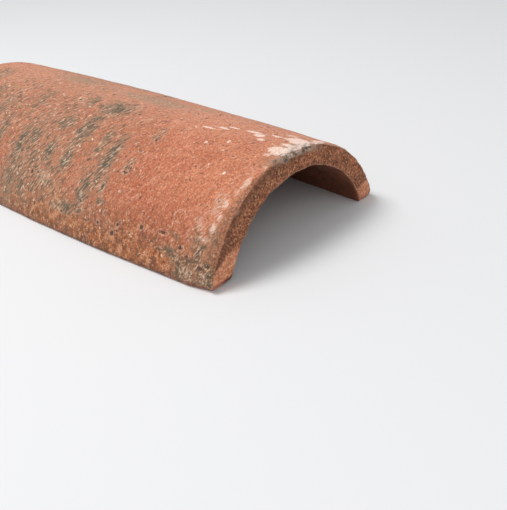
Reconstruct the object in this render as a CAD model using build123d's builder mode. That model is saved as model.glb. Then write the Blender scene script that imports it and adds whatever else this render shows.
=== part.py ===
"""Barrel roof tile of fired clay: one tapered half-round tile, lying on its two long edges.

Frame: +Y runs along the tile from the narrow end to the wide end, +X across it and +Z up.
The origin is on the floor, in the middle of the tile.
"""

from build123d import *
import os

# Driving dimensions, in millimetres
length = 460.0
narrow_width = 208.0
narrow_height = 82.0
wide_width = 224.0
wide_height = 88.0
wall = 21.0

# Hand-moulded clay bellies between its ends: how much wider and higher the middle is than a straight taper
belly_width = 14.0
belly_height = 3.0

# Long edges under the feet, rounded while the clay was soft
outer_foot_round = 6.0
inner_foot_round = 4.0

# The arris round each end, rubbed off at 45 degrees
end_bevel = 2.0

# The soles are rubbed flat, which takes this much off the moulded clay
sole_rub = 2.6

# Corners of the two feet at the narrow end, trimmed slantwise: how far up the end and how far back
trim_height = 24.0
trim_depth = 4.0


def arch_radius(width, height):
    """Radius of the round arch that is this wide at the floor and this high at the crown."""
    return ((width / 2) ** 2 + height**2) / (2 * height)


def arch_sketch(along, width, height):
    """The moulded cross-section at this place along the tile: two arcs about one centre, a wall apart."""
    outer = arch_radius(width, height)
    inner = outer - wall
    centre = height - outer
    low = -sole_rub
    outer_foot = (outer**2 - (low - centre) ** 2) ** 0.5
    inner_foot = (inner**2 - (low - centre) ** 2) ** 0.5
    with BuildSketch(Plane(origin=(0, along, 0), x_dir=(1, 0, 0), z_dir=(0, -1, 0))) as section:
        with BuildLine():
            ThreePointArc((-outer_foot, low), (0, height), (outer_foot, low))
            Line((outer_foot, low), (inner_foot, low))
            ThreePointArc((inner_foot, low), (0, height - wall), (-inner_foot, low))
            Line((-inner_foot, low), (-outer_foot, low))
        make_face()
        fillet(section.vertices().sort_by(Axis.X)[1:3], radius=inner_foot_round)
        outer_corners = [section.vertices().sort_by(Axis.X)[side] for side in (0, -1)]
        fillet(outer_corners, radius=outer_foot_round)
    return section.sketch


middle_width = (narrow_width + wide_width) / 2 + belly_width
middle_height = (narrow_height + wide_height) / 2 + belly_height

with BuildPart() as barrel_tile:
    # The tapered, slightly bellied shell between the two ends
    narrow_section = arch_sketch(-length / 2, narrow_width, narrow_height)
    middle_section = arch_sketch(0, middle_width, middle_height)
    wide_section = arch_sketch(length / 2, wide_width, wide_height)
    loft(sections=[narrow_section, middle_section, wide_section])

    # The arrises round both ends
    ends = barrel_tile.faces().filter_by(Plane.XZ)
    chamfer(ends.edges(), length=end_bevel)

    # Both soles rubbed level, so that the tile lies flat
    split(bisect_by=Plane.XY, keep=Keep.TOP)

    # The slanting trim across the front of both feet
    with BuildSketch(Plane.YZ):
        with BuildLine():
            Polyline(
                (-length / 2, 0),
                (-length / 2 + trim_depth, 0),
                (-length / 2, trim_height),
                close=True,
            )
        make_face()
    extrude(amount=narrow_width, both=True, mode=Mode.SUBTRACT)

print("solid", barrel_tile.part.is_valid, barrel_tile.part.volume / 1000, "cm3")
barrel_tile.part.label = "barrel_tile"
os.makedirs("parts", exist_ok=True)
export_step(barrel_tile.part, "parts/barrel_tile.step")
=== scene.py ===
"""Looks of a weathered clay barrel tile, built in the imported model's frame (metres, +Z up)."""

import bpy
import numpy as np
from mathutils import Euler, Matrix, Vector


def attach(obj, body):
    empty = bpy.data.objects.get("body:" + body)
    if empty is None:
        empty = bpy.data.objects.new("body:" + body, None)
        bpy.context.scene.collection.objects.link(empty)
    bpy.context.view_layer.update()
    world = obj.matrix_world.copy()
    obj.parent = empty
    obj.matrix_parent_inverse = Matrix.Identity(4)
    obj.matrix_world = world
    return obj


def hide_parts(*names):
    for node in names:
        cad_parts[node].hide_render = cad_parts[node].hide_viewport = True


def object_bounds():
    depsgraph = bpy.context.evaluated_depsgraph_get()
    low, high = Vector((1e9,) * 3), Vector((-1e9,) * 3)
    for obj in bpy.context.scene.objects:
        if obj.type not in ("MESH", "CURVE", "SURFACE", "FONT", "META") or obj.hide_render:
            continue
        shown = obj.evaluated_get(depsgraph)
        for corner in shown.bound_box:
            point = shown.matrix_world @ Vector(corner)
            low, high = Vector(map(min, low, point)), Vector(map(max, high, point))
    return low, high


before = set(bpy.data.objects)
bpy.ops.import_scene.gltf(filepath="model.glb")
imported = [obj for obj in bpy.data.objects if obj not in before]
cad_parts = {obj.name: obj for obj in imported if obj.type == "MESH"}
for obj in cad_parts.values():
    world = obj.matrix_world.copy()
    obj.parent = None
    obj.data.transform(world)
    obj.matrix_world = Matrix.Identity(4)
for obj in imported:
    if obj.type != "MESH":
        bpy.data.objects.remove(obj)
cad_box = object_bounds()

# The camera stands where the photograph was taken from: in front of the narrow end, to its left,
# looking down on the tile and leaning a little, because the tile itself lay a little tilted.
view_azimuth = np.radians(-43.70)
view_elevation = np.radians(30.28)
view_roll = np.radians(-5.89)
view_place = Vector((-0.3979, -0.5891, 0.3033))
focal_pixels = 737.8
photo_height_pixels = 510
film_width = 36.0
near_clip = 0.01

camera_data = bpy.data.cameras.new("camera")
camera = bpy.data.objects.new("camera", camera_data)
bpy.context.scene.collection.objects.link(camera)
camera_data.sensor_width = film_width
camera_data.lens = focal_pixels * film_width / photo_height_pixels
camera_data.clip_start = near_clip
turn = Euler((np.pi / 2 - view_elevation, 0, view_azimuth)).to_matrix()
camera.matrix_world = (turn @ Euler((0, 0, view_roll)).to_matrix()).to_4x4()
camera.location = view_place
bpy.context.scene.camera = camera

# The tile: one piece of moulded and fired clay. It was pressed over a tapered wooden form, wiped with
# wet hands, cut off square at both ends, trimmed at its front feet, dried on its long edges and fired.
# Years on a roof have rounded and chipped its arrises, pitted its skin and grown lichen and lime on it.

# The arch at both ends and how much it bellies between them, and the wall, whose hollow side sits a little
# to the right at the near end. The outer face starts a skin's depth inside the solid, so that its
# unevenness stays within it.
half_length = (cad_box[1][1] - cad_box[0][1]) / 2
narrow_width, narrow_height = 0.208, 0.082
wide_width, wide_height = 0.224, 0.088
belly_width, belly_height = 0.014, 0.003
wall = 0.021
hollow_shift = 0.003
skin_depth = 0.0006

# Rounds of the long edges and of the arrises, and the trims on the two near feet: their height at the
# middle of the foot, how steeply their top edge rises inwards, and how far back they go at the floor.
foot_round = 0.004
left_end_round, right_end_round = 0.008, 0.005
inner_foot_round = 0.003
near_foot_share = 0.05
arris_reach = 0.005
arris_limit = 0.6
middle_foot_height = 0.4 * wall
left_trim_height, left_trim_rise = 0.018, 0.7
right_trim_height, right_trim_rise = 0.018, -0.25
trim_depth, foot_middle, foot_half = 0.002, 0.093, 0.012
left_toe_round, right_toe_round = 0.006, 0.002

# The mesh: points round one cross-section and rows along the tile, closer together at the near end.
arch_points = 230
hollow_points = 80
round_points = 8
sole_points = 4
body_rows = 248
arris_rows = 6
cap_rows = 5
row_crowding = 0.45


def profile_size(share):
    """Width, height, outer radius and centre height at a share of the length.

    Width and height follow a parabola through the two ends and the bellied middle.
    """
    middle_width = (narrow_width + wide_width) / 2 + belly_width
    middle_height = (narrow_height + wide_height) / 2 + belly_height
    near, middle, far = (1 - share) * (1 - 2 * share), 4 * share * (1 - share), share * (2 * share - 1)
    width = narrow_width * near + middle_width * middle + wide_width * far
    height = narrow_height * near + middle_height * middle + wide_height * far
    radius = ((width / 2) ** 2 + height**2) / (2 * height)
    return width, height, radius, height - radius


def smooth_step(low, high, value):
    """0 below low, 1 above high, and between them three times the square less twice the cube."""
    part = np.clip((value - low) / (high - low), 0, 1)
    return part * part * (3 - 2 * part)


def profile_loop(share):
    """Closed cross-section at each share of the length.

    Two arcs from foot to foot, a wall apart, the inner one shifted sideways at the narrow end where the
    hand-made wall is uneven; each foot is a flat sole between an outer and an inner round. Each round's
    centre is where a circle touches both its arc and the floor. Returns x and z, clockwise from the left
    foot over the crown.
    """
    share = share[:, None]
    _, _, outer, centre = profile_size(share)
    inner = outer - wall
    outer = outer - skin_depth
    shift = hollow_shift * (1 - share)
    near_end = 1 - smooth_step(0, near_foot_share, share)
    turn_share = np.linspace(0, 1, round_points + 2)[None, 1:]
    sole_share = np.linspace(0, 1, sole_points + 2)[None, 1:]
    inner_x = np.sqrt((inner + inner_foot_round) ** 2 - (inner_foot_round - centre) ** 2)
    inner_angle = np.arctan2(inner_x, inner_foot_round - centre)
    angles, feet = [], []
    for side, end_round in ((-1, left_end_round), (1, right_end_round)):
        radius = foot_round + (end_round - foot_round) * near_end
        round_x = np.sqrt((outer - radius) ** 2 - (radius - centre) ** 2)
        angle = np.arctan2(round_x, radius - centre)
        down = angle + (np.pi - angle) * turn_share
        lift_x = side * shift + inner_x
        up = np.pi + inner_angle * turn_share
        foot_x = [round_x + radius * np.sin(down), round_x + (lift_x - round_x) * sole_share]
        foot_x.append(lift_x + inner_foot_round * np.sin(up))
        foot_z = [radius * (1 + np.cos(down)), np.zeros((len(share), sole_points + 1))]
        foot_z.append(inner_foot_round * (1 + np.cos(up)))
        angles.append(angle)
        feet.append((side * np.hstack(foot_x), np.hstack(foot_z)))
    over = -angles[0] + (angles[0] + angles[1]) * np.linspace(0, 1, arch_points)[None, :]
    under = inner_angle * np.linspace(1, -1, hollow_points)[None, 1:-1]
    over_x, over_z = outer * np.sin(over), centre + outer * np.cos(over)
    under_x, under_z = shift + inner * np.sin(under), centre + inner * np.cos(under)
    x = np.hstack([over_x, feet[1][0], under_x, feet[0][0][:, ::-1]])
    z = np.hstack([over_z, feet[1][1], under_z, feet[0][1][:, ::-1]])
    return x, z


def hashed(lattice, seed):
    """A number from 0 to 1 for each lattice point, by scrambling its three whole coordinates.

    The large numbers are primes and odd factors that mix the bits well.
    """
    a, b, c = (lattice[..., k].astype(np.uint64) for k in range(3))
    mixed = a * np.uint64(73856093) ^ b * np.uint64(19349663) ^ c * np.uint64(83492791)
    mixed = mixed ^ np.uint64(seed * 2654435761)
    mixed = (mixed ^ (mixed >> np.uint64(33))) * np.uint64(0xFF51AFD7ED558CCD)
    mixed = (mixed ^ (mixed >> np.uint64(33))) * np.uint64(0xC4CEB9FE1A85EC53)
    return ((mixed >> np.uint64(40)) & np.uint64(0xFFFFF)).astype(float) / 0xFFFFF


lattice_start = 1000.0


def lumps(points, size, seed):
    """Smooth unevenness from -1 to 1: random lattice values `size` apart, blended by smooth steps.

    The lattice starts far enough off for all its coordinates to be above zero.
    """
    on_lattice = points / np.asarray(size) + lattice_start
    cell = np.floor(on_lattice)
    part = on_lattice - cell
    part = part * part * (3 - 2 * part)
    total = np.zeros(points.shape[:-1])
    for corner in range(8):
        step = np.array([corner & 1, corner >> 1 & 1, corner >> 2 & 1])
        weight = np.prod(np.where(step, part, 1 - part), axis=-1)
        total += weight * hashed(cell + step, seed)
    return 2 * total - 1


even = np.linspace(0, 1, body_rows)
share = (1 - row_crowding) * even + row_crowding * even**2
ring_x, ring_z = profile_loop(share)
loop_points = ring_x.shape[1]
body_half = half_length - arris_reach
ring_y = (-body_half + 2 * body_half * share)[:, None] * np.ones((1, loop_points))

# Both ends: the loop turns over the arris and closes over the end face towards the wall's middle line.
# Each loop point has a partner on that line, which has as many points as the hollow side's arc.
foot_length = (loop_points - arch_points - (hollow_points - 2)) // 2
first_under = arch_points + foot_length
last_foot = first_under + hollow_points - 2
partner = np.zeros(loop_points, int)
partner[:arch_points] = np.round(np.linspace(0, hollow_points - 1, arch_points))
partner[arch_points:first_under] = hollow_points - 1
partner[first_under:last_foot] = np.arange(hollow_points - 2, 0, -1)


def middle_line(x, z):
    """Points half way between the outer arc and the inner arc under it, kept off the sole at both feet."""
    above = np.round(np.linspace(0, arch_points - 1, hollow_points)).astype(int)
    below = last_foot - np.arange(hollow_points)
    below[0] = last_foot
    below[-1] = first_under - 1
    return (x[above] + x[below]) / 2, np.maximum((z[above] + z[below]) / 2, middle_foot_height)


def end_rows(x, z, y, outward, arris_round):
    """Rows from a body end ring over the arris and in across the end face to its middle line.

    The arris is a quarter ellipse: arris_reach along the tile and arris_round across the wall.
    """
    middle_x, middle_z = middle_line(x, z)
    goal_x, goal_z = middle_x[partner], middle_z[partner]
    reach = np.hypot(goal_x - x, goal_z - z)
    toward_x, toward_z = (goal_x - x) / reach, (goal_z - z) / reach
    rows = []
    for turn in np.linspace(0, np.pi / 2, arris_rows + 1)[1:]:
        inset = np.minimum(arris_round, reach * arris_limit) * (1 - np.cos(turn))
        rows.append((x + toward_x * inset, y + outward * arris_reach * np.sin(turn), z + toward_z * inset))
    start_x, face_y, start_z = rows[-1]
    for part in np.linspace(0, 1, cap_rows + 2)[1:-1]:
        rows.append((start_x + (goal_x - start_x) * part, face_y, start_z + (goal_z - start_z) * part))
    return rows, (middle_x, face_y[:hollow_points], middle_z)


loop_step = np.arange(loop_points)
on_arch = loop_step < arch_points
near_spot = np.stack([ring_x[0], ring_y[0], ring_z[0]], axis=-1)
far_spot = np.stack([ring_x[-1], ring_y[-1], ring_z[-1]], axis=-1)

# How far each arris is rounded across the wall. At the near end the right flank stayed sharp, the left
# flank wore more and the crown wore most; both ends are a little uneven.
sharp_arris, left_arris_wear, crown_arris_wear, near_hollow_arris = 0.0011, 0.0014, 0.0025, 0.0010
far_arris, far_hollow_arris = 0.0030, 0.0016
worn_crown_place, worn_crown_reach = -0.004, 0.035
worn_left_full, worn_left_end = -0.005, 0.035
crown_wear = np.exp(-((ring_x[0] - worn_crown_place) ** 2) / worn_crown_reach**2) * on_arch
left_wear = 1 - smooth_step(worn_left_full, worn_left_end, ring_x[0])
near_arris = sharp_arris + left_arris_wear * left_wear + crown_arris_wear * crown_wear
near_round = np.where(on_arch, near_arris, near_hollow_arris) * (1 + 0.45 * lumps(near_spot, 0.011, 11))
far_round = np.where(on_arch, far_arris, far_hollow_arris) * (1 + 0.4 * lumps(far_spot, 0.014, 12))
near_rows, near_middle = end_rows(ring_x[0], ring_z[0], ring_y[0], -1, near_round)
far_rows, far_middle = end_rows(ring_x[-1], ring_z[-1], ring_y[-1], 1, far_round)
grids = []
for axis, ring in enumerate((ring_x, ring_y, ring_z)):
    grids.append(np.vstack([[row[axis] for row in near_rows[::-1]], ring, [row[axis] for row in far_rows]]))
points = np.stack(grids, axis=-1)
row_count = len(points)

around = np.roll(points, -1, axis=1) - np.roll(points, 1, axis=1)
along = np.gradient(points, axis=0)
normals = np.cross(around, along)
normals /= np.linalg.norm(normals, axis=-1, keepdims=True)
near_line = np.stack(near_middle, axis=-1)
far_line = np.stack(far_middle, axis=-1)
points = np.vstack([points.reshape(-1, 3), near_line, far_line])
line_normals = np.zeros((hollow_points, 3)) + [0, 1, 0]
normals = np.vstack([normals.reshape(-1, 3), -line_normals, line_normals])

# Where each point lies on the tile, in millimetres: along it, round the arch from its left foot, and
# deep under the outer face. The marks below are placed in these three.
point_share = np.clip((points[:, 1] + half_length) / (2 * half_length), 0, 1)
_, _, arch_radius, arch_centre = profile_size(point_share)
angle = np.arctan2(points[:, 0], points[:, 2] - arch_centre)
foot_angle = np.arctan2(np.sqrt(arch_radius**2 - arch_centre**2), -arch_centre)
at = 1000 * points[:, 1]
round_arch = 1000 * arch_radius * (angle + foot_angle)
deep = 1000 * (arch_radius - np.hypot(points[:, 0], points[:, 2] - arch_centre))
outer_skin, below_skin = 2.5, 4.5
near_hollow, in_hollow = 16.0, 19.0
end_facing = smooth_step(0.45, 0.85, np.abs(normals[:, 1]))
outside = (1 - smooth_step(outer_skin, below_skin, deep)) * (1 - end_facing)
inside = smooth_step(near_hollow, in_hollow, deep) * (1 - end_facing)


mark_softness = 1.8


def spread(marks):
    """How strongly a list of oval marks covers each point, from 0 to 1.

    A mark is (along, round the arch, half size along, half size round, strength), the sizes in
    millimetres; its cover falls off as a Gaussian bell, and where marks overlap the stronger one counts.
    """
    total = np.zeros(len(points))
    for y, s, half_y, half_s, strength in marks:
        bell = np.exp(-(((at - y) / half_y) ** 2 + ((round_arch - s) / half_s) ** 2) / mark_softness)
        total = np.maximum(total, strength * bell)
    return total * outside


# Lichen in slanting patches, the olive film on the crown, ochre and tan dirt along the foot, lime on the
# near crown, single pale specks, and pits where grit fell out.
lichen_marks = [
    (22, 92, 44, 56, 0.35), (4, 46, 38, 20, 0.42), (-60, 84, 30, 48, 0.28), (120, 100, 60, 50, 0.35),
    (60, 240, 80, 40, 0.35), (53, 68, 6, 24, 0.9), (48, 34, 6, 14, 0.7), (27, 31, 9, 13, 0.6),
    (8, 103, 10, 10, 0.75), (33, 105, 10, 6, 0.5), (4, 71, 7, 12, 0.9), (-23, 101, 9, 20, 0.9),
    (-24, 67, 7, 11, 1.0), (-30, 137, 17, 11, 0.85), (9, 138, 6, 10, 0.7), (-57, 94, 6, 16, 0.7),
    (-75, 80, 7, 22, 0.9), (-64, 47, 6, 13, 0.95), (-48, 27, 8, 5, 0.9), (-86, 55, 3, 6, 1.0),
    (-90, 43, 4, 3, 0.8), (48, 58, 14, 34, 0.6), (34, 44, 9, 14, 0.6), (10, 34, 12, 9, 0.5),
    (22, 60, 14, 14, 0.6), (38, 78, 12, 18, 0.7), (-106, 118, 4, 9, 0.35), (-103, 78, 4, 8, 0.5),
    (24, 136, 4, 4, 0.6), (70, 120, 9, 22, 0.55), (92, 66, 7, 26, 0.8), (104, 38, 12, 14, 0.7),
    (118, 96, 8, 20, 0.7), (139, 60, 8, 22, 0.9), (150, 112, 12, 16, 0.6), (176, 74, 7, 28, 0.8),
    (198, 40, 9, 18, 0.7), (186, 140, 14, 18, 0.5), (72, 219, 6, 14, 0.65), (46, 252, 9, 20, 0.85),
    (8, 236, 5, 12, 0.6), (-14, 264, 12, 9, 0.75), (-33, 218, 5, 22, 0.7), (-58, 246, 8, 9, 0.5),
    (-108, 226, 5, 15, 0.45), (-128, 264, 14, 8, 0.6), (110, 262, 8, 12, 0.8), (138, 224, 7, 25, 0.8),
    (174, 248, 13, 10, 0.65), (205, 220, 5, 17, 0.55), (-196, 264, 10, 9, 0.4), (90, 236, 4, 9, 0.5),
]
film_marks = [
    (76, 176, 36, 13, 0.8), (20, 172, 26, 11, 0.5), (-45, 172, 44, 11, 0.9), (120, 178, 34, 13, 0.3),
    (-100, 182, 30, 10, 0.5), (50, 27, 10, 20, 0.6), (-150, 190, 30, 12, 0.4), (30, 208, 60, 14, 0.5),
    (140, 214, 50, 12, 0.5),
]
ochre_marks = [
    (-10, 26, 30, 20, 0.8), (-52, 16, 60, 8, 0.8), (-120, 14, 50, 8, 0.9), (-170, 14, 30, 6, 0.8),
    (40, 18, 40, 10, 0.6), (110, 16, 50, 10, 0.7), (180, 16, 50, 10, 0.7), (0, 292, 200, 12, 0.7),
    (-128, 32, 26, 10, 0.5), (-5, 44, 14, 11, 0.6),
]
tan_marks = [
    (-6, 44, 17, 12, 0.95), (-34, 26, 15, 8, 0.9), (-20, 34, 12, 8, 0.7), (-60, 20, 18, 5, 0.5),
    (-115, 40, 7, 4, 0.7), (25, 24, 16, 10, 0.5), (-95, 22, 12, 6, 0.5), (100, 40, 18, 12, 0.5),
    (160, 30, 20, 10, 0.5), (60, 260, 20, 12, 0.5), (-40, 268, 22, 10, 0.5), (-150, 24, 14, 5, 0.4),
    (5, 120, 20, 12, 0.3),
]
lime_marks = [
    (-180, 156, 9, 2.4, 1.0), (-188, 152, 6, 3, 0.95), (-195, 146, 5, 3, 0.8), (-219, 162, 10, 8, 1.0),
    (-222, 148, 9, 4, 0.85), (-220, 137, 9, 7, 1.0), (-228, 150, 5, 12, 1.0), (-140, 144, 9, 1.5, 1.0),
    (-152, 149, 7, 1.6, 1.0), (-160, 154, 7, 1.4, 0.9), (-216, 128, 5, 3, 0.7),
    (-201, 160, 8, 2.2, 0.8), (-207, 171, 8, 5, 0.7), (-164, 161, 3, 1.6, 0.6), (-212, 180, 10, 5, 0.6),
    (-227, 178, 6, 9, 0.8), (205, 196, 8, 8, 0.7), (176, 236, 5, 7, 0.5), (-190, 222, 8, 5, 0.5),
]
speck_marks = [
    (-156, 124, 1.6, 1.6, 1.0), (-198, 97, 1.1, 2.0, 1.0), (-174, 131.5, 1.2, 2.6, 0.9),
    (-144, 125, 1.6, 1.6, 0.6), (-146.7, 59, 1.1, 1.1, 0.8), (-159, 36, 1.4, 1.0, 0.7),
    (-215.6, 109, 2.0, 1.2, 0.8), (-113, 146, 2.2, 1.2, 0.5), (53, 135, 2.0, 1.4, 0.9),
    (3, 113, 2.0, 1.4, 0.8), (-66, 134, 2.4, 1.4, 0.7), (36, 40, 1.6, 1.6, 0.8),
    (-40, 66, 1.4, 1.0, 0.7), (-60, 18, 1.4, 1.0, 0.8), (-206, 80, 1.6, 3.0, 0.5),
    (-33, 137, 2.4, 1.2, 0.6),
]
pit_marks = [
    (-93.9, 25, 1.5, 1.5, 0.9), (-113.3, 20.6, 2.0, 1.9, 1.0), (-118.3, 29, 1.5, 1.5, 1.0),
    (-118.9, 23.9, 1.3, 1.3, 0.9), (-77.6, 22.8, 2.2, 1.1, 0.8), (-99.4, 35, 1.2, 2.2, 0.8),
    (-133.3, 26.1, 1.8, 1.0, 0.9), (-145.6, 34.5, 2.4, 1.9, 1.0), (-170, 36.1, 4.2, 1.5, 1.0),
    (-143.3, 45.6, 2.2, 1.6, 0.6), (-123.9, 51.4, 1.4, 1.1, 0.9), (-125.6, 42.3, 0.9, 2.4, 0.7),
    (-136.1, 76.5, 1.1, 2.0, 0.6), (-136.6, 70.5, 1.1, 1.2, 0.8), (-85.6, 54.5, 2.2, 3.6, 0.8),
    (-102.2, 73.4, 3.2, 1.7, 0.9), (-103.3, 82.3, 2.2, 1.6, 0.8), (-108.3, 91.7, 1.4, 1.1, 0.5),
    (-108.3, 111.7, 1.6, 1.8, 0.9), (-111, 108.4, 1.4, 1.2, 0.8), (-107.8, 121, 1.8, 1.0, 0.7),
    (-104.4, 138.4, 2.2, 1.8, 0.7), (-107, 164.5, 2.6, 3.0, 0.6), (-135.6, 86.5, 1.3, 1.1, 0.7),
    (-168.3, 96.1, 2.0, 1.4, 0.8), (-168.9, 84.5, 1.1, 1.4, 0.5), (-192.2, 116.1, 1.5, 1.3, 0.8),
    (-203.9, 115.6, 1.4, 1.1, 0.8), (-202.2, 66.7, 1.6, 1.1, 0.7), (-170.6, 143.9, 1.6, 1.0, 0.5),
    (-179.4, 98.9, 1.2, 1.0, 0.5), (-182.2, 105.6, 1.8, 0.8, 0.5), (-108.3, 55.6, 1.6, 0.9, 0.5),
    (-142.2, 65.6, 1.0, 1.0, 0.4), (-129, 105.6, 1.4, 1.4, 0.5), (-191.1, 28.9, 3.2, 1.8, 0.9),
    (-171, 22.2, 4.0, 1.0, 0.9), (-210, 28.9, 2.2, 2.6, 0.9), (-215.6, 18.9, 3.2, 2.2, 0.9),
    (-223, 22, 1.6, 2.2, 0.8), (-200, 24.5, 3.0, 1.2, 0.8), (15.6, 46.1, 1.9, 2.4, 1.0),
    (25.6, 135.6, 2.0, 1.6, 0.9), (-22.8, 55.6, 1.1, 1.1, 0.9), (0, 19, 2.0, 2.2, 0.9),
    (-3, 40, 1.6, 2.0, 0.8), (6, 48, 2.2, 1.4, 0.8), (-30, 30, 1.6, 1.2, 0.8), (-42, 22, 2.0, 1.4, 0.8),
    (-12, 23, 1.8, 1.2, 0.8), (-64, 37, 2.6, 1.6, 0.8), (66, 84, 2.0, 1.4, 0.8),
    (98, 110, 1.8, 1.6, 0.9), (130, 44, 2.2, 1.8, 0.9), (164, 96, 2.6, 1.6, 0.8),
    (202, 66, 1.8, 1.8, 0.9), (190, 150, 2.0, 1.4, 0.8), (-170, 206, 2.0, 2.0, 0.9),
    (-120, 230, 1.8, 1.4, 0.8), (-70, 210, 2.2, 1.6, 0.8), (-20, 250, 2.4, 1.8, 0.9),
    (40, 216, 1.6, 1.6, 0.8), (80, 268, 2.2, 1.6, 0.9), (126, 206, 2.0, 1.4, 0.8),
    (170, 250, 2.4, 2.0, 0.9), (-196, 240, 2.4, 1.6, 0.9), (-150, 272, 2.0, 1.6, 0.8),
    (-46, 192, 1.6, 1.2, 0.7),
]
# Crust of lime and dirt washed into the front left corner, and pale rubbed spots behind the arris with a
# painted highlight on them.
crust_marks = [
    (-223, 13, 8, 10, 1.0), (-212, 27, 6, 14, 0.85), (-200, 14, 10, 8, 0.95), (-190, 20, 9, 7, 0.75),
    (-206, 38, 6, 9, 0.7), (-219, 45, 6, 8, 0.6), (-178, 24, 9, 4, 0.6), (-184, 36, 5, 5, 0.5),
]
rub_and_highlight_marks = [
    (-223, 94, 3.2, 8, 1.0), (-221, 84, 2.0, 8, 0.85), (-217, 72, 3.4, 6, 1.0),
    (-218, 61, 3.0, 5, 0.95), (-217, 52, 3.6, 6, 0.95), (-212, 42, 6, 5, 0.8), (-227, 112, 3, 9, 0.8),
    (-210, 30, 6, 4, 0.6), (-214, 84, 5, 10, 0.55), (-211, 70, 9, 18, 0.72), (-204, 52, 10, 13, 0.7),
    (-197, 40, 9, 9, 0.6), (-219, 104, 6, 14, 0.6),
]

# Rings of lime left by dried drops: along, round the arch, radius and strength.
ring_marks = [
    (-181, 53, 5.4, 0.95), (-113.3, 20.6, 3.2, 0.9), (-93.9, 25, 2.8, 0.8), (-15, 140, 4.0, 0.6),
    (150, 84, 4.5, 0.7),
]
ring_line, ring_wobble = 0.8, 1.3

lichen = spread(lichen_marks)
film = spread(film_marks)
ochre = spread(ochre_marks)
tan_dust = spread(tan_marks)
lime = np.maximum(spread(lime_marks), spread(speck_marks))
pits = spread(pit_marks)
rings = np.zeros(len(points))
for y, s, radius, strength in ring_marks:
    away = np.hypot(at - y, round_arch - s) + ring_wobble * lumps(points, 0.006, 25)
    rings = np.maximum(rings, strength * np.exp(-(((away - radius) / ring_line) ** 2)))
rings *= outside

crust = spread(crust_marks)
crust_low = crust * (1 - smooth_step(8, 26, round_arch))
rubbed_and_highlight = spread(rub_and_highlight_marks)

# Dirt splashed up from both long edges, and painted shade low on both flanks: full up to the first distance
# and gone at the second, both in millimetres round the arch.
arch_length, dirt_and_shade_full, dirt_and_shade_end = 295, 6, 58
from_edge = np.minimum(round_arch, arch_length - round_arch)
foot_dirt_and_shade = (1 - smooth_step(dirt_and_shade_full, dirt_and_shade_end, from_edge)) * outside

# The grey crust on the broken crown of the near end.
crust_middle, crust_reach = 148, 26
crown_crust = np.exp(-(((round_arch - crust_middle) / crust_reach) ** 2))
crown_crust = crown_crust * (1 - smooth_step(-225, -217, at)) * (1 - smooth_step(5, 9, deep))

# Dirt between the near arris and a line a little behind it, which runs into the arris at the crown.
line_round, line_along = [0, 20, 50, 73, 101, 120], [-214, -217, -217, -220, -226, -229]
before_line = np.interp(round_arch, line_round, line_along) - at
front_dirt = smooth_step(-1, 4, before_line) * (1 - smooth_step(115, 150, round_arch)) * outside
crown_smudge = 0.8 * np.exp(-(((at + 222) / 9) ** 2 + ((round_arch - 122) / 14) ** 2)) * outside
front_dirt = np.maximum(front_dirt, crown_smudge)

# The rounded arrises, which face neither along the tile nor square to it, and the outer edge of the near
# end face on its left flank, darkened with painted shade.
end_turn = np.abs(normals[:, 1])
arris_facing = smooth_step(0.08, 0.5, end_turn) * (1 - smooth_step(0.75, 0.98, end_turn))
shaded_edge = end_facing * (at < 0) * (1 - smooth_step(4, 13, deep))
shaded_edge = shaded_edge * (1 - smooth_step(120, 190, round_arch))

# The thin line where each arris of the near end turns into the end face, worn pale: a few rows at the top
# of the rounded arris, strongest on the right part of the outer arris.
line_rows, right_part = 3, 0.6
left_line, right_line_more, hollow_line = 0.45, 0.5, 0.75
outer_line = left_line + right_line_more * (loop_step > arch_points * right_part)
arris_line = np.zeros((row_count, loop_points))
arris_line[cap_rows : cap_rows + line_rows] = np.where(on_arch, outer_line, hollow_line)
arris_line = np.append(arris_line.ravel(), np.zeros(2 * hollow_points))

# The crown, rubbed paler than the flanks and lit with a painted sheen.
pale_crown_and_sheen = smooth_step(105, 175, round_arch) * (1 - smooth_step(190, 240, round_arch)) * outside


def trim_top(spots):
    """Height of the trimmed facets' slanting top edge: at the middle of the foot, plus a rise inwards."""
    inwards = foot_middle - np.clip(np.abs(spots[:, 0]), foot_middle - foot_half, None)
    left = left_trim_height + left_trim_rise * inwards
    right = right_trim_height + right_trim_rise * inwards
    return np.where(spots[:, 0] < 0, left, right)


facet = end_facing * (at < 0) * (1 - smooth_step(-0.0008, 0.0008, points[:, 2] - trim_top(points)))

# The clay's own unevenness, and what wear added to it or took from it, along the surface's normal. Each
# term is a height in metres times lumps, whose own size in metres and number of the draw follow.
place = np.stack([at, round_arch, deep], axis=-1) / 1000
relief = 0.0005 * lumps(points, 0.09, 1) + 0.00028 * lumps(points, 0.03, 2)
relief += 0.00014 * lumps(points, 0.009, 3) + 0.00010 * lumps(points, 0.004, 4)
wiping = lumps(place, (0.05, 0.0034, 0.05), 5) + 0.7 * lumps(place, (0.09, 0.0075, 0.05), 6)
relief += 0.00010 * wiping * (1 - end_facing)
relief += inside * (0.00045 * lumps(points, 0.02, 7) + 0.00025 * lumps(place, (0.12, 0.006, 0.05), 8))
relief -= 0.0011 * pits * (0.8 + 0.4 * lumps(points, 0.003, 9))
relief += 0.00035 * rings + 0.00035 * lime * (0.6 + 0.8 * lumps(points, 0.0035, 10))
relief += crust * (0.0003 + 0.0005 * lumps(points, 0.0032, 13) + 0.0003 * lumps(points, 0.0016, 14))
relief -= crown_crust * (0.0007 + 0.0007 * lumps(points, 0.0045, 20) + 0.0006 * lumps(points, 0.0022, 21))
relief -= front_dirt * (0.0004 + 0.0005 * lumps(points, 0.005, 22) + 0.0003 * lumps(points, 0.002, 23))
relief -= end_facing * (0.0006 + 0.0005 * lumps(points, 0.012, 15) + 0.00035 * lumps(points, 0.004, 16))
relief -= arris_facing * (0.0005 + 0.0006 * lumps(points, 0.006, 17) + 0.0006 * lumps(points, 0.003, 24))
shaped = points + normals * np.minimum(relief, skin_depth)[:, None]

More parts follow.
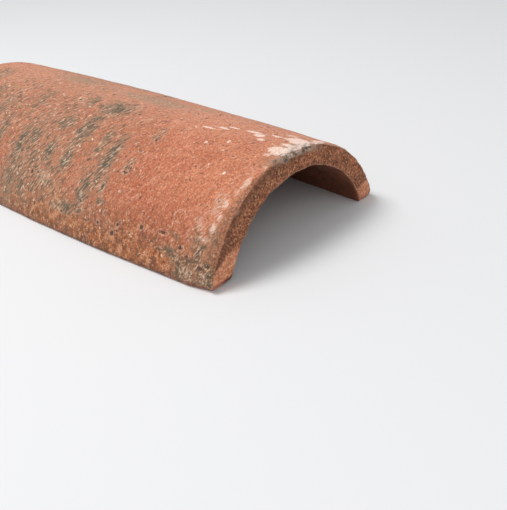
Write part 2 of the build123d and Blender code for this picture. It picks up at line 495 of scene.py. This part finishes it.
# The slanting trim across the front of both feet: a plane from trim_depth back at the floor up to the
# end face at the facets' top edge.
trim_edge = trim_top(shaped) + 0.0006 * lumps(points, 0.01, 18)
trim_y = -half_length + trim_depth * (1 - shaped[:, 2] / trim_edge) + 0.0002 * lumps(points, 0.005, 19)
shaped[:, 1] = np.where(shaped[:, 2] < trim_edge, np.maximum(shaped[:, 1], trim_y), shaped[:, 1])

# The sole's front edge under that facet is worn to a round: a quarter circle from the sole up to the
# facet, larger on the left foot.
toe_round = np.where(shaped[:, 0] < 0, left_toe_round, right_toe_round)
toe_gap = np.clip(toe_round - (shaped[:, 1] + half_length - trim_depth), 0, toe_round)
shaped[:, 2] = np.maximum(shaped[:, 2], toe_round - np.sqrt(toe_round**2 - toe_gap**2))


def knock_off(shaped, centre, radii, seed):
    """Points inside a rough ellipsoid are pushed out to its surface, which leaves a shell-shaped chip.

    Its radii are larger or smaller by about a fifth in lumps, and by a tenth in finer ones.
    """
    offset = (shaped - centre) / radii
    rough = 1 + 0.22 * lumps(shaped, 0.0045, seed) + 0.1 * lumps(shaped, 0.002, seed + 1)
    distance = np.linalg.norm(offset, axis=-1)
    inner_points = distance < rough
    pushed = centre + offset / np.maximum(distance, 1e-6)[:, None] * rough[:, None] * radii
    return np.where(inner_points[:, None], pushed, shaped), inner_points


# Chips along the near arris: round the arch, size and width in millimetres.
arris_chips = [
    (171, 4.2, 10), (161, 6.0, 9), (152, 7.0, 10), (143, 6.4, 9), (134, 6.0, 9), (125, 5.0, 8),
    (112, 4.0, 8), (98, 4.4, 8), (84, 3.6, 7), (70, 4.2, 8), (57, 3.4, 6), (44, 4.0, 7), (192, 2.6, 6),
    (214, 2.2, 5), (240, 1.8, 4), (262, 2.2, 5),
]
chip_gap, first_chip_draw = 0.0012, 30
chipped = np.zeros(len(points))
_, _, near_radius, near_centre = profile_size(0.0)
near_foot_angle = np.arctan2(np.sqrt(near_radius**2 - near_centre**2), -near_centre)
for count, (s, size, width) in enumerate(arris_chips):
    chip_angle = s / 1000 / near_radius - near_foot_angle
    lift = near_radius + chip_gap
    chip_x, chip_z = lift * np.sin(chip_angle), near_centre + lift * np.cos(chip_angle)
    centre = np.array([chip_x, -half_length - chip_gap, chip_z])
    across, upwards = width * abs(np.cos(chip_angle)), width * abs(np.sin(chip_angle))
    radii = np.array([max(size, across), size, max(size, upwards)]) / 1000
    shaped, touched = knock_off(shaped, centre, radii, first_chip_draw + 2 * count)
    chipped = np.maximum(chipped, touched)

# Chips along the left long edge: along the tile, half length and depth in millimetres.
edge_chips = [
    (-166, 13, 4.5), (-182, 9, 4.0), (-150, 7, 2.6), (-118, 6, 2.2), (-60, 9, 2.6), (36, 7, 2.2),
    (120, 10, 3.0),
]
edge_gap, edge_drop, first_edge_draw = 0.0005, 0.0006, 70
for count, (y, half_y, size) in enumerate(edge_chips):
    width, _, _, _ = profile_size((y / 1000 + half_length) / (2 * half_length))
    centre = np.array([-width / 2 - edge_gap, y / 1000, -edge_drop])
    radii = np.array([size, half_y, size]) / 1000
    shaped, touched = knock_off(shaped, centre, radii, first_edge_draw + 2 * count)
    chipped = np.maximum(chipped, touched)
shaped[:, 1] = np.clip(shaped[:, 1], -half_length, half_length)
shaped[:, 2] = np.maximum(shaped[:, 2], 0.0)

# The faces: squares between neighbouring rows, and the two closed ends.
index = np.arange(row_count * loop_points).reshape(row_count, loop_points)
following = np.roll(index, -1, axis=1)
quads = np.stack([index[:-1], following[:-1], following[1:], index[1:]], axis=-1).reshape(-1, 4)


def cap_faces(ring, line_start, flip):
    """Faces between the last end-face row and the middle line.

    They are squares, or triangles where two neighbours share a partner.
    """
    ahead = np.roll(ring, -1)
    goal, goal_ahead = line_start + partner, line_start + np.roll(partner, -1)
    same = goal == goal_ahead
    triangles = np.stack([ring, ahead, goal], axis=-1)[same]
    squares = np.stack([ring, ahead, goal_ahead, goal], axis=-1)[~same]
    if flip:
        triangles, squares = triangles[:, ::-1], squares[:, ::-1]
    return triangles, squares


line_start = row_count * loop_points
near_triangles, near_squares = cap_faces(index[0], line_start, True)
far_triangles, far_squares = cap_faces(index[-1], line_start + hollow_points, False)
faces = np.vstack([quads, near_squares, far_squares]).tolist()
faces += np.vstack([near_triangles, far_triangles]).tolist()

tile_mesh = bpy.data.meshes.new("weathered_tile")
tile_mesh.from_pydata(shaped.tolist(), [], faces)
tile_mesh.validate()
tile_mesh.update()
tile_mesh.polygons.foreach_set("use_smooth", np.ones(len(tile_mesh.polygons), bool))
masks = {
    "lichen": lichen,
    "film": film,
    "ochre": ochre,
    "tan_dust": tan_dust,
    "lime": lime,
    "pits": pits,
    "rings": rings,
    "crust": crust,
    "crust_foot": crust_low,
    "crown_crust": crown_crust,
    "foot_dirt_and_shade": foot_dirt_and_shade,
    "rubbed_and_highlight": rubbed_and_highlight,
    "worn_arris": np.maximum(arris_line, 0.55 * arris_facing * (at < 0)),
    "front_dirt": front_dirt,
    "pale_crown_and_sheen": pale_crown_and_sheen,
    "end_face": end_facing,
    "facet": facet,
    "inside": inside,
    "shaded_edge": shaded_edge,
    "chipped": chipped,
}
for name, values in masks.items():
    tile_mesh.attributes.new(name, "FLOAT", "POINT").data.foreach_set("value", values.astype(np.float32))
skin_place = tile_mesh.attributes.new("skin_place", "FLOAT_VECTOR", "POINT")
skin_place.data.foreach_set("vector", place.astype(np.float32).ravel())
tile = bpy.data.objects.new("weathered_tile", tile_mesh)
bpy.context.scene.collection.objects.link(tile)
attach(tile, "root")
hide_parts("barrel_tile")

clay = bpy.data.materials.new("fired_clay")
clay.use_nodes = True
tree = clay.node_tree
shader = tree.nodes["Principled BSDF"]
where = tree.nodes.new("ShaderNodeTexCoord").outputs["Object"]
on_skin = tree.nodes.new("ShaderNodeAttribute")
on_skin.attribute_name = "skin_place"

# The functions below add their nodes to the material that `tree` names at the time.


def mask(name):
    """The mark of this name, read from the mesh."""
    attribute = tree.nodes.new("ShaderNodeAttribute")
    attribute.attribute_name = name
    return attribute.outputs["Fac"]


def joined(socket, value):
    """Sets a socket to a number, or links it to another node's output."""
    if isinstance(value, bpy.types.NodeSocket):
        tree.links.new(value, socket)
    else:
        socket.default_value = value


def maths(operation, first, second=0.0, third=0.0):
    """One Math node."""
    step = tree.nodes.new("ShaderNodeMath")
    step.operation = operation
    for socket, value in zip(step.inputs, (first, second, third)):
        joined(socket, value)
    return step.outputs[0]


def times(first, second):
    """The product of two masks."""
    return maths("MULTIPLY", first, second)


def scaled(value, factor, offset):
    """A mask times a factor, plus an offset that may be a mask too."""
    return maths("MULTIPLY_ADD", value, factor, offset)


def between(value, low, high):
    """0 at low, 1 at high, and a smooth change between them; low may be the larger of the two."""
    step = tree.nodes.new("ShaderNodeMapRange")
    step.interpolation_type = "SMOOTHSTEP"
    joined(step.inputs["Value"], value)
    step.inputs["From Min"].default_value = low
    step.inputs["From Max"].default_value = high
    return step.outputs[0]


def patchy(cover, noise, edge):
    """A soft mark broken up by noise: full where the two add up to over 1, with a soft edge."""
    return between(maths("ADD", cover, noise), 1.0 - edge, 1.0 + edge)


def over(base, colour, amount):
    """A colour laid over another by an amount."""
    step = tree.nodes.new("ShaderNodeMix")
    step.data_type = "RGBA"
    for socket, value in ((step.inputs[6], base), (step.inputs[7], colour), (step.inputs[0], amount)):
        joined(socket, (*value, 1) if isinstance(value, tuple) else value)
    return step.outputs[2]


def grain(period, detail=2.0, roughness=0.55, stretch=None, tilt=0.0, seed=0.0):
    """Noise from 0 to 1 with lumps about a period (in metres) across.

    A stretch lays it on the tile's skin instead, with periods along the tile, round it and through it,
    turned on the skin by a tilt.
    """
    source = where
    if stretch is not None:
        mapping = tree.nodes.new("ShaderNodeMapping")
        tree.links.new(on_skin.outputs["Vector"], mapping.inputs["Vector"])
        mapping.vector_type = "TEXTURE"
        mapping.inputs["Rotation"].default_value = (0, 0, tilt)
        mapping.inputs["Scale"].default_value = stretch
        source = mapping.outputs[0]
    shifted = tree.nodes.new("ShaderNodeVectorMath")
    tree.links.new(source, shifted.inputs[0])
    shifted.inputs[1].default_value = (seed, seed * 0.7, seed * 1.3)
    noise = tree.nodes.new("ShaderNodeTexNoise")
    tree.links.new(shifted.outputs[0], noise.inputs["Vector"])
    noise.inputs["Scale"].default_value = 0.5 / period
    noise.inputs["Detail"].default_value = detail
    noise.inputs["Roughness"].default_value = roughness
    return noise.outputs["Fac"]


# The noises: four even ones from broad to fine, and five drawn out in slanting dashes, as the clay was
# wiped and as the lichen grows.
streak = np.radians(34)
broad = grain(0.05, 2, 0.5, seed=1)
medium = grain(0.009, 3, 0.6, seed=2)
coarse = grain(0.0028, 2, 0.6, seed=7)
fine = grain(0.0009, 2, 0.75, seed=3)
wiped = grain(1.0, 2, 0.6, stretch=(0.0016, 0.010, 0.03), tilt=streak, seed=4)
speckle = grain(1.0, 2, 0.6, stretch=(0.0017, 0.0048, 0.02), tilt=streak, seed=5)
speckle_fine = grain(1.0, 1, 0.6, stretch=(0.0009, 0.0040, 0.01), tilt=streak, seed=6)
speckle_pale = grain(1.0, 1, 0.6, stretch=(0.0008, 0.0026, 0.01), tilt=streak, seed=10)
skin_grit = grain(1.0, 2, 0.7, stretch=(0.0008, 0.0015, 0.006), tilt=streak, seed=11)

# Fired clay, from brick red to a lighter orange red, gritty, with faint wiped lines.
brick_red, orange_red, light_clay = (0.43, 0.122, 0.054), (0.53, 0.180, 0.086), (0.60, 0.235, 0.125)
wiped_dark, wiped_pale = (0.37, 0.115, 0.06), (0.68, 0.33, 0.21)
colour = over(brick_red, orange_red, between(broad, 0.36, 0.64))
colour = over(colour, light_clay, times(between(medium, 0.5, 0.72), 0.5))
colour = over(colour, wiped_dark, times(between(wiped, 0.52, 0.72), 0.42))
colour = over(colour, wiped_pale, times(between(wiped, 0.48, 0.27), 0.36))

# The pinkish crown, worn and with a painted sheen, the foot darkened by dirt and painted shade, the ochre
# band along it and tan dust in it.
crown_pink_sheen, foot_shade_brown = (0.68, 0.335, 0.22), (0.22, 0.078, 0.030)
foot_ochre, foot_tan = (0.44, 0.142, 0.038), (0.49, 0.27, 0.15)
dusty, dirt_and_shade = mask("tan_dust"), mask("foot_dirt_and_shade")
colour = over(colour, crown_pink_sheen, times(mask("pale_crown_and_sheen"), scaled(coarse, 0.9, 0.05)))
colour = over(colour, foot_shade_brown, times(dirt_and_shade, scaled(coarse, 1.1, 0.36)))
colour = over(colour, foot_ochre, times(patchy(mask("ochre"), medium, 0.30), 0.62))
tan_lumps = patchy(times(dusty, 0.62), scaled(coarse, 0.6, times(medium, 0.4)), 0.07)
colour = over(colour, foot_tan, times(tan_lumps, 0.72))

# The grit of the clay and of the dirt on it: tan and dark grains, coarse ones, and fine ones all over.
dust_pale, dust_dark = (0.68, 0.50, 0.36), (0.16, 0.085, 0.045)
coarse_dark, coarse_pale = (0.27, 0.090, 0.050), (0.70, 0.34, 0.22)
dark_grit_and_shade, dirt_pale = (0.115, 0.048, 0.022), (0.62, 0.33, 0.18)
fine_dark, fine_pale = (0.18, 0.056, 0.032), (0.78, 0.40, 0.26)
colour = over(colour, dust_pale, times(patchy(times(dusty, 0.56), skin_grit, 0.05), 0.85))
colour = over(colour, dust_dark, times(patchy(times(dusty, 0.50), speckle, 0.05), 0.85))
colour = over(colour, coarse_dark, times(between(coarse, 0.51, 0.68), 0.25))
colour = over(colour, coarse_pale, times(between(coarse, 0.46, 0.30), 0.17))
# Dark grains in the dirt, which also deepen the painted shade along both long edges.
colour = over(colour, dark_grit_and_shade, times(times(dirt_and_shade, between(coarse, 0.50, 0.58)), 0.72))
colour = over(colour, dirt_pale, times(times(dirt_and_shade, between(coarse, 0.46, 0.36)), 0.45))
colour = over(colour, fine_dark, times(between(fine, 0.50, 0.70), 0.80))
colour = over(colour, fine_pale, times(between(fine, 0.47, 0.29), 0.56))

# The grey olive film of algae on the weather side of the crown, and the lichen: an olive halo, slanting
# dark dashes and blots in it, and pale dashes between them.
film_olive, halo_tan, halo_olive = (0.30, 0.225, 0.145), (0.34, 0.205, 0.125), (0.225, 0.150, 0.085)
dash_dark, blot_dark, dash_pale = (0.135, 0.096, 0.060), (0.095, 0.078, 0.054), (0.66, 0.46, 0.33)
lichen_cover = mask("lichen")
spread_out = maths("POWER", lichen_cover, 0.5)
dark_dashes = patchy(scaled(spread_out, 0.31, 0.235), speckle_fine, 0.03)
dark_blots = patchy(scaled(lichen_cover, 0.36, 0.16), speckle, 0.035)
pale_dashes = patchy(scaled(spread_out, 0.13, 0.27), speckle_pale, 0.04)
colour = over(colour, film_olive, times(patchy(mask("film"), coarse, 0.4), scaled(fine, 0.9, 0.15)))
colour = over(colour, halo_tan, times(patchy(spread_out, speckle, 0.40), 0.62))
colour = over(colour, halo_olive, times(patchy(lichen_cover, coarse, 0.35), 0.35))
colour = over(colour, dash_dark, times(dark_dashes, 0.88))
colour = over(colour, blot_dark, times(dark_blots, 0.8))
colour = over(colour, dash_pale, times(pale_dashes, 0.62))

# Single dark and pale grains in the clay all over.
grain_dark, grain_pale = (0.13, 0.07, 0.05), (0.80, 0.56, 0.42)
colour = over(colour, grain_dark, times(between(grain(0.0026, 1, 0.5, seed=8), 0.69, 0.76), 0.85))
colour = over(colour, grain_pale, times(between(grain(0.0022, 1, 0.5, seed=9), 0.71, 0.78), 0.8))

# Dirt behind the near arris, and the crust in the near left corner with its pale and dark grains.
splash_brown, splash_dark = (0.32, 0.145, 0.075), (0.15, 0.075, 0.042)
crust_brown, crust_grain, crust_pale = (0.235, 0.122, 0.064), (0.47, 0.32, 0.215), (0.60, 0.46, 0.35)
crust_dark, crust_hole = (0.10, 0.066, 0.038), (0.095, 0.066, 0.036)
splashed = mask("front_dirt")
crust_cover = patchy(mask("crust"), scaled(coarse, 0.6, times(speckle_fine, 0.4)), 0.30)
pale_cover = patchy(mask("crust_foot"), speckle, 0.2)
colour = over(colour, splash_brown, times(patchy(splashed, coarse, 0.30), 0.5))
colour = over(colour, splash_dark, times(patchy(times(splashed, 0.5), fine, 0.07), 0.7))
colour = over(colour, crust_brown, times(crust_cover, 0.75))
colour = over(colour, crust_grain, times(crust_cover, between(skin_grit, 0.50, 0.62)))
colour = over(colour, crust_pale, times(pale_cover, between(fine, 0.50, 0.66)))
colour = over(colour, crust_dark, times(crust_cover, between(skin_grit, 0.48, 0.34)))
colour = over(colour, crust_hole, times(crust_cover, times(between(coarse, 0.54, 0.64), 0.8)))

# Rings of lime, and pits with a broken pale rim and painted shade in them.
ring_lime, rim_pale, pit_painted_shade = (0.62, 0.42, 0.31), (0.66, 0.42, 0.29), (0.07, 0.042, 0.028)
pitted = mask("pits")
pit_rims = times(between(pitted, 0.10, 0.26), maths("SUBTRACT", 1.0, between(pitted, 0.36, 0.55)))
pit_shade = patchy(times(pitted, 0.82), scaled(fine, 0.6, times(coarse, 0.4)), 0.10)
colour = over(colour, ring_lime, times(patchy(times(mask("rings"), 0.8), speckle_fine, 0.15), 0.6))
colour = over(colour, rim_pale, times(pit_rims, times(between(skin_grit, 0.46, 0.60), 0.5)))
colour = over(colour, pit_painted_shade, times(pit_shade, 0.92))

# The end faces, dark with dirt and gritty.
end_dark, end_brown = (0.245, 0.076, 0.029), (0.370, 0.124, 0.050)
end_light, end_shade = (0.44, 0.17, 0.078), (0.14, 0.050, 0.022)
end_fine_dark, end_fine_pale = (0.08, 0.032, 0.016), (0.60, 0.30, 0.165)
end_lime, end_edge_painted_shade = (0.62, 0.45, 0.33), (0.105, 0.042, 0.020)
end_colour = over(end_dark, end_brown, between(medium, 0.40, 0.62))
end_colour = over(end_colour, end_light, times(between(coarse, 0.50, 0.64), 0.45))
end_colour = over(end_colour, end_shade, times(between(coarse, 0.47, 0.36), 0.35))
end_colour = over(end_colour, end_fine_dark, times(between(fine, 0.49, 0.60), 0.85))
end_colour = over(end_colour, end_fine_pale, times(between(fine, 0.47, 0.33), 0.75))
end_colour = over(end_colour, end_lime, times(between(skin_grit, 0.68, 0.74), 0.5))
# Painted shade along the outer edge of the near end face on its left flank.
end_colour = over(end_colour, end_edge_painted_shade, times(mask("shaded_edge"), scaled(medium, 0.8, 0.15)))

# The trimmed facets at the feet, paler than the end face round them.
facet_tan, facet_light = (0.56, 0.195, 0.090), (0.70, 0.305, 0.160)
facet_fine_dark, facet_fine_pale = (0.20, 0.09, 0.050), (0.76, 0.46, 0.31)
facet_colour = over(facet_tan, facet_light, between(coarse, 0.4, 0.62))
facet_colour = over(facet_colour, facet_fine_dark, times(between(fine, 0.50, 0.62), 0.6))
facet_colour = over(facet_colour, facet_fine_pale, times(between(fine, 0.45, 0.32), 0.6))
end_colour = over(end_colour, facet_colour, mask("facet"))
colour = over(colour, end_colour, mask("end_face"))

# The hollow side, dusty and dark with painted shade.
hollow_painted_shade, hollow_shaded_brown = (0.125, 0.032, 0.010), (0.21, 0.060, 0.022)
hollow_fine_dark, hollow_fine_pale = (0.06, 0.020, 0.009), (0.34, 0.14, 0.07)
hollow_colour_with_shade = over(hollow_painted_shade, hollow_shaded_brown, between(medium, 0.4, 0.7))
hollow_colour_with_shade = over(hollow_colour_with_shade, hollow_fine_dark, times(between(fine, 0.52, 0.68), 0.7))
hollow_colour_with_shade = over(hollow_colour_with_shade, hollow_fine_pale, times(between(fine, 0.44, 0.32), 0.5))
colour = over(colour, hollow_colour_with_shade, mask("inside"))

# Where the clay is rubbed pale behind the near arris, with a painted highlight there, and along it, and
# where it is chipped.
rubbed_pink_highlight, rubbed_pale_highlight, arris_pale = (0.60, 0.36, 0.25), (0.70, 0.50, 0.40), (0.62, 0.37, 0.25)
chip_brown, chip_dark = (0.36, 0.19, 0.115), (0.16, 0.085, 0.052)
rub_and_highlight_cover = mask("rubbed_and_highlight")
chip_cover = patchy(mask("chipped"), maths("SUBTRACT", coarse, 0.35), 0.3)
colour = over(colour, rubbed_pink_highlight, times(patchy(times(rub_and_highlight_cover, 0.72), speckle_fine, 0.12), 0.60))
colour = over(colour, rubbed_pale_highlight, times(patchy(times(rub_and_highlight_cover, 0.58), skin_grit, 0.08), 0.80))
colour = over(colour, arris_pale, times(patchy(times(mask("worn_arris"), 0.66), fine, 0.10), 0.75))
colour = over(colour, chip_brown, times(chip_cover, 0.75))
colour = over(colour, chip_dark, times(chip_cover, between(fine, 0.50, 0.62)))

# A grey crust on the broken crown, and lime, nearly white, in cracked patches with broken edges.
grey_brown, grey_pale, grey_dark = (0.30, 0.20, 0.14), (0.60, 0.49, 0.40), (0.12, 0.085, 0.06)
lime_white = (0.86, 0.66, 0.56)
grey_cover = patchy(mask("crown_crust"), coarse, 0.35)
grey_holes = between(scaled(coarse, 0.5, times(fine, 0.5)), 0.51, 0.57)
lime_break = scaled(speckle_pale, 0.45, times(speckle, 0.50))
lime_cover = patchy(times(mask("lime"), 0.86), lime_break, 0.11)
from_crack = maths("ABSOLUTE", maths("SUBTRACT", scaled(coarse, 0.5, times(speckle, 0.5)), 0.5))
lime_cracks = between(from_crack, 0.0, 0.022)
lime_tone = times(scaled(fine, 0.8, 0.46), scaled(lime_cracks, 0.55, 0.45))
colour = over(colour, grey_brown, times(grey_cover, 0.8))
colour = over(colour, grey_pale, times(grey_cover, between(fine, 0.44, 0.60)))
colour = over(colour, grey_dark, times(grey_cover, grey_holes))
colour = over(colour, lime_white, times(lime_cover, lime_tone))
tree.links.new(colour, shader.inputs["Base Color"])
shader.inputs["Roughness"].default_value = 0.9

# The finest relief is bump: grit, wiped lines, and lichen and lime that stand on the clay.
relief_height = scaled(fine, 0.55, times(coarse, 0.8))
relief_height = scaled(wiped, 0.30, relief_height)
relief_height = scaled(dark_dashes, 0.30, relief_height)
relief_height = scaled(lime_cover, 0.4, relief_height)
bump = tree.nodes.new("ShaderNodeBump")
bump.inputs["Strength"].default_value = 0.9
bump.inputs["Distance"].default_value = 0.0010
tree.links.new(relief_height, bump.inputs["Height"])
tree.links.new(bump.outputs[0], shader.inputs["Normal"])
tile_mesh.materials.append(clay)

# The studio: a pale floor, a pale surround, one large soft lamp high on the left behind the tile
# and a weaker one in front.
floor_reach, floor_grey = 6.0, (0.72, 0.72, 0.72, 1)
floor_mesh = bpy.data.meshes.new("studio_floor")
corners = [(-floor_reach, -floor_reach, 0), (floor_reach, -floor_reach, 0), (floor_reach, floor_reach, 0)]
floor_mesh.from_pydata([*corners, (-floor_reach, floor_reach, 0)], [], [(0, 1, 2, 3)])
floor = bpy.data.objects.new("studio_floor", floor_mesh)
bpy.context.scene.collection.objects.link(floor)
floor_paint = bpy.data.materials.new("studio_floor")
floor_paint.use_nodes = True
floor_shader = floor_paint.node_tree.nodes["Principled BSDF"]
floor_shader.inputs["Base Color"].default_value = floor_grey
floor_shader.inputs["Roughness"].default_value = 0.9
floor_mesh.materials.append(floor_paint)

# What the camera sees of the far floor and of the world is one plain pale tone, which lights nothing. The
# floor fades to it between two distances from the tile, in metres.
pale_tone = (0.74, 0.755, 0.775, 1)
fade_start, fade_end = 0.6, 2.0
tree = floor_paint.node_tree
spot = tree.nodes.new("ShaderNodeTexCoord")
away = tree.nodes.new("ShaderNodeVectorMath")
away.operation = "LENGTH"
tree.links.new(spot.outputs["Object"], away.inputs[0])
seen = tree.nodes.new("ShaderNodeLightPath").outputs["Is Camera Ray"]
fade = times(between(away.outputs["Value"], fade_start, fade_end), seen)
far_floor = tree.nodes.new("ShaderNodeEmission")
far_floor.inputs["Color"].default_value = pale_tone
blend = tree.nodes.new("ShaderNodeMixShader")
tree.links.new(fade, blend.inputs[0])
tree.links.new(floor_shader.outputs[0], blend.inputs[1])
tree.links.new(far_floor.outputs[0], blend.inputs[2])
tree.links.new(blend.outputs[0], tree.nodes["Material Output"].inputs["Surface"])

sky_white, sky_strength = (0.95, 0.97, 1.0, 1), 0.5
world = bpy.data.worlds.new("studio")
bpy.context.scene.world = world
world.use_nodes = True
tree = world.node_tree
surround = tree.nodes["Background"]
surround.inputs["Color"].default_value = sky_white
surround.inputs["Strength"].default_value = sky_strength
backdrop = tree.nodes.new("ShaderNodeBackground")
backdrop.inputs["Color"].default_value = pale_tone
blend = tree.nodes.new("ShaderNodeMixShader")
tree.links.new(tree.nodes.new("ShaderNodeLightPath").outputs["Is Camera Ray"], blend.inputs[0])
tree.links.new(surround.outputs[0], blend.inputs[1])
tree.links.new(backdrop.outputs[0], blend.inputs[2])
tree.links.new(blend.outputs[0], tree.nodes["World Output"].inputs["Surface"])


def lamp(name, place, aim, size, power):
    """A square area lamp at a place, turned towards the point it lights; its power is in watts."""
    data = bpy.data.lights.new(name, "AREA")
    data.size = size
    data.energy = power
    light = bpy.data.objects.new(name, data)
    light.location = place
    light.rotation_euler = (Vector(aim) - Vector(place)).to_track_quat("-Z", "Y").to_euler()
    bpy.context.scene.collection.objects.link(light)


tile_middle = (0, 0, 0.04)
lamp("key", (-0.75, 0.6, 2.2), tile_middle, size=1.1, power=45)
lamp("fill", (-0.6, -1.8, 1.2), tile_middle, size=1.5, power=9)

bpy.context.scene.view_settings.view_transform = "Standard"

print("triangles", sum(len(polygon.vertices) - 2 for polygon in tile_mesh.polygons))
